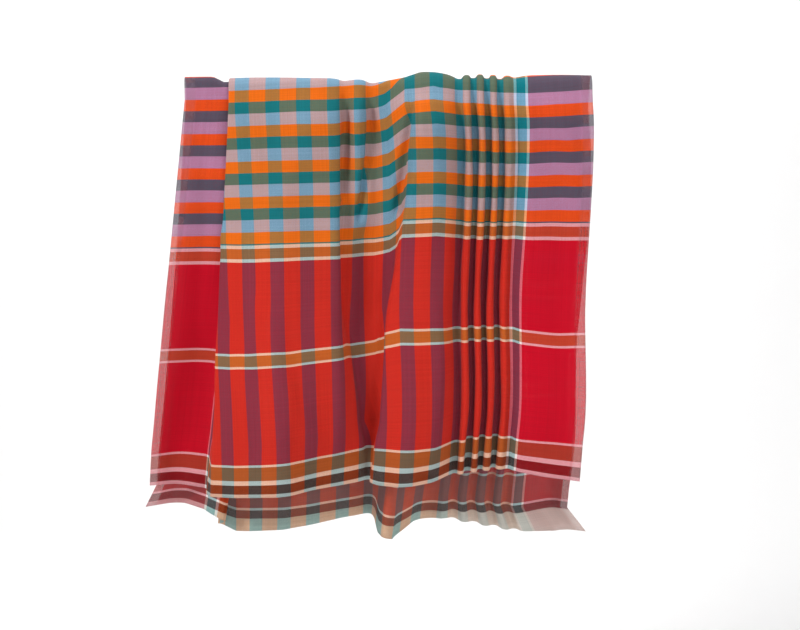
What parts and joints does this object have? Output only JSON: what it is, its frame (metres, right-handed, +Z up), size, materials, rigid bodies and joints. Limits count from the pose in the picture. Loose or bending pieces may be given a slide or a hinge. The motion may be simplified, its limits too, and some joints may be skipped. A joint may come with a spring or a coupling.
{
  "type": "gamcha towel cloth hung double",
  "caption": "Checked cotton gamcha cloth folded double over its middle, hanging in pleats and gathers, with striped field, plain borders and banded ends.",
  "frame": {"origin": "under the crown where the cloth turns over, halfway along the hung edge", "axes": "+X along the hung edge to the viewer's right, -Y the front half, +Z up"},
  "size_m": [0.7837, 0.2677, 0.8189],
  "materials": {
    "cotton": "matt hand-loomed checked cotton"
  },
  "bodies": {
    "root": {"gamcha_cloth": "cotton"}
  },
  "joints": []
}
